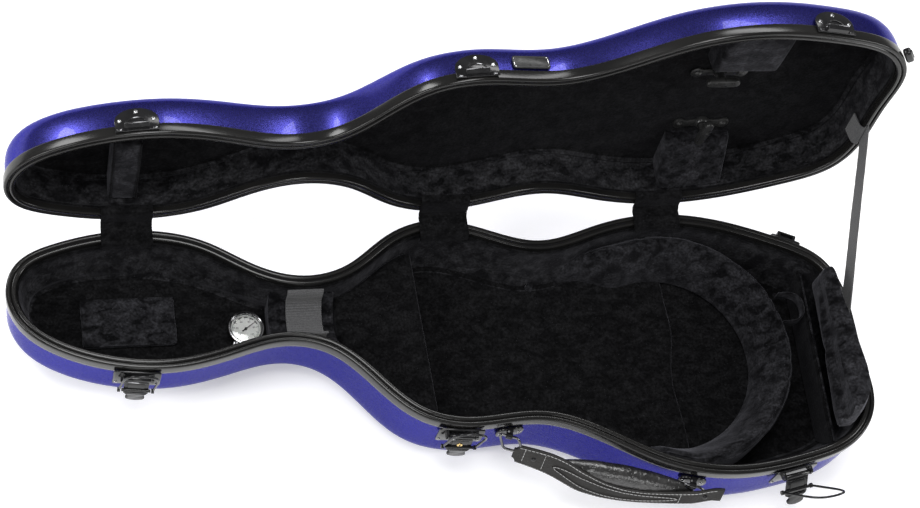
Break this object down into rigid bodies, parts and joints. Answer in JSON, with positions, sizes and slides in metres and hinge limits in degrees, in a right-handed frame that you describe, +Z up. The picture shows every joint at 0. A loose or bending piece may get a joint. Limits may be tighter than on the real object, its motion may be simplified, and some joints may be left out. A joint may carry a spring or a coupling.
{
  "type": "violin case",
  "caption": "Shaped hard violin case standing open: two glossy shells with black rims on a hinge line, velvet interior, bow holders, draw latches and a grip.",
  "frame": {"origin": "on the flat outside bottom of the base shell, half way along the case, below the middle of its length", "axes": "+X along the length towards the wide end, +Y towards the hinges, +Z up from the bottom towards the rims"},
  "size_m": [0.7943, 0.384, 0.3606],
  "materials": {
    "shell": "gloss",
    "rim": "gloss",
    "velvet": "velvet",
    "webbing": "woven",
    "leather": "grained",
    "black_metal": "gloss",
    "steel": "polished",
    "black_plastic": "gloss",
    "dial": "matte",
    "glass": "clear"
  },
  "bodies": {
    "base": {"base_lining": "velvet", "base_rim": "rim", "base_shell": "shell", "body_floor_pad": "velvet", "divider_panel": "velvet", "handle_bracket_a": "black_metal", "handle_bracket_b": "black_metal", "hinge_1_base_leaf": "black_metal", "hinge_1_pin": "steel", "hinge_2_base_leaf": "black_metal", "hinge_2_pin": "steel", "hinge_3_base_leaf": "black_metal", "hinge_3_pin": "steel", "hinge_cover_1": "velvet", "hinge_cover_2": "velvet", "hinge_cover_3": "velvet", "hygrometer_case": "steel", "hygrometer_dial": "dial", "hygrometer_lens": "glass", "latch_1_plate": "black_metal", "latch_2_plate": "black_metal", "latch_3_plate": "black_metal", "neck_cradle": "velvet", "neck_platform": "velvet", "neck_strap": "webbing", "pull_loop": "velvet", "rear_strap_bracket": "black_metal", "scroll_pocket": "velvet", "stay_strap": "webbing", "tail_cushion": "velvet"},
    "lid": {"lid_shell": "shell", "lid_rim": "rim", "lid_lining": "velvet", "bow_tip_pocket": "velvet", "frog_block_lower": "velvet", "frog_block_upper": "velvet", "spinner_upper_plate": "black_plastic", "spinner_lower_plate": "black_plastic", "nameplate": "black_plastic", "lid_end_tab": "black_metal", "catch_1": "black_metal", "catch_2": "black_metal", "catch_3": "black_metal", "hinge_1_lid_leaf": "black_metal", "hinge_2_lid_leaf": "black_metal", "hinge_3_lid_leaf": "black_metal"},
    "accessory_flap": {"accessory_flap": "velvet"},
    "hygrometer_pointer": {"hygrometer_needle": "black_metal"},
    "handle": {"handle_grip": "leather", "handle_loop_a": "steel", "handle_loop_b": "steel"},
    "spinner_upper": {"spinner_upper_bar": "black_plastic"},
    "spinner_lower": {"spinner_lower_bar": "black_plastic"},
    "latch_1_lever": {"latch_1_lever": "black_metal"},
    "latch_1_bail": {"latch_1_bail": "black_metal"},
    "latch_2_lever": {"latch_2_lever": "black_metal"},
    "latch_2_bail": {"latch_2_bail": "black_metal"},
    "latch_3_lever": {"latch_3_lever": "black_metal"},
    "latch_3_bail": {"latch_3_bail": "black_metal"}
  },
  "joints": [
    {"name": "lid_hinge", "type": "hinge", "parent": "base", "child": "lid", "pos_m": [0, 0.1428, 0.092], "axis": [1, 0, 0], "range_deg": [0, 98], "deforming": ["hinge_cover_1", "hinge_cover_2", "hinge_cover_3", "stay_strap"]},
    {"name": "flap_hinge", "type": "hinge", "parent": "base", "child": "accessory_flap", "pos_m": [0.36, 0, 0.082], "axis": [0, -1, 0], "range_deg": [0, 90]},
    {"name": "handle_swing", "type": "hinge", "parent": "base", "child": "handle", "pos_m": [0.12615, -0.10006, 0.074], "axis": [-0.945, 0.3271, 0], "range_deg": [-8, 100]},
    {"name": "needle_turn", "type": "hinge", "parent": "base", "child": "hygrometer_pointer", "pos_m": [-0.181, 0.055, 0.0415], "axis": [0, 0, 1], "range_deg": [-80, 190]},
    {"name": "latch_1_lever_turn", "type": "hinge", "parent": "base", "child": "latch_1_lever", "pos_m": [-0.28616, -0.00214, 0.08], "axis": [-0.9939, 0.1101, 0], "range_deg": [0, 80]},
    {"name": "latch_1_bail_turn", "type": "hinge", "parent": "latch_1_lever", "child": "latch_1_bail", "pos_m": [-0.28664, -0.00647, 0.06452], "axis": [-0.9939, 0.1101, 0], "range_deg": [-80, 0]},
    {"name": "latch_2_lever_turn", "type": "hinge", "parent": "base", "child": "latch_2_lever", "pos_m": [-0.00152, -0.07149, 0.08], "axis": [-0.9951, 0.0986, 0], "range_deg": [0, 80]},
    {"name": "latch_2_bail_turn", "type": "hinge", "parent": "latch_2_lever", "child": "latch_2_bail", "pos_m": [-0.00195, -0.07582, 0.06452], "axis": [-0.9951, 0.0986, 0], "range_deg": [-80, 0]},
    {"name": "latch_3_lever_turn", "type": "hinge", "parent": "base", "child": "latch_3_lever", "pos_m": [0.30941, -0.12621, 0.08], "axis": [-0.9823, -0.1872, 0], "range_deg": [-31, 57]},
    {"name": "latch_3_bail_turn", "type": "hinge", "parent": "latch_3_lever", "child": "latch_3_bail", "pos_m": [0.3113, -0.13609, 0.06745], "axis": [-0.9823, -0.1872, 0], "range_deg": [-57, 31]},
    {"name": "spinner_upper_turn", "type": "hinge", "parent": "lid", "child": "spinner_upper", "pos_m": [0.24, 0.20675, 0.24741], "axis": [0, 0.9903, -0.1392], "range_deg": [-180, 180]},
    {"name": "spinner_lower_turn", "type": "hinge", "parent": "lid", "child": "spinner_lower", "pos_m": [0.245, 0.19576, 0.16918], "axis": [0, 0.9903, -0.1392], "range_deg": [-180, 180]}
  ],
  "couplings": [
    {"joint": "latch_1_bail_turn", "follows": "latch_1_lever_turn", "ratio": -1},
    {"joint": "latch_2_bail_turn", "follows": "latch_2_lever_turn", "ratio": -1},
    {"joint": "latch_3_bail_turn", "follows": "latch_3_lever_turn", "ratio": -1}
  ]
}
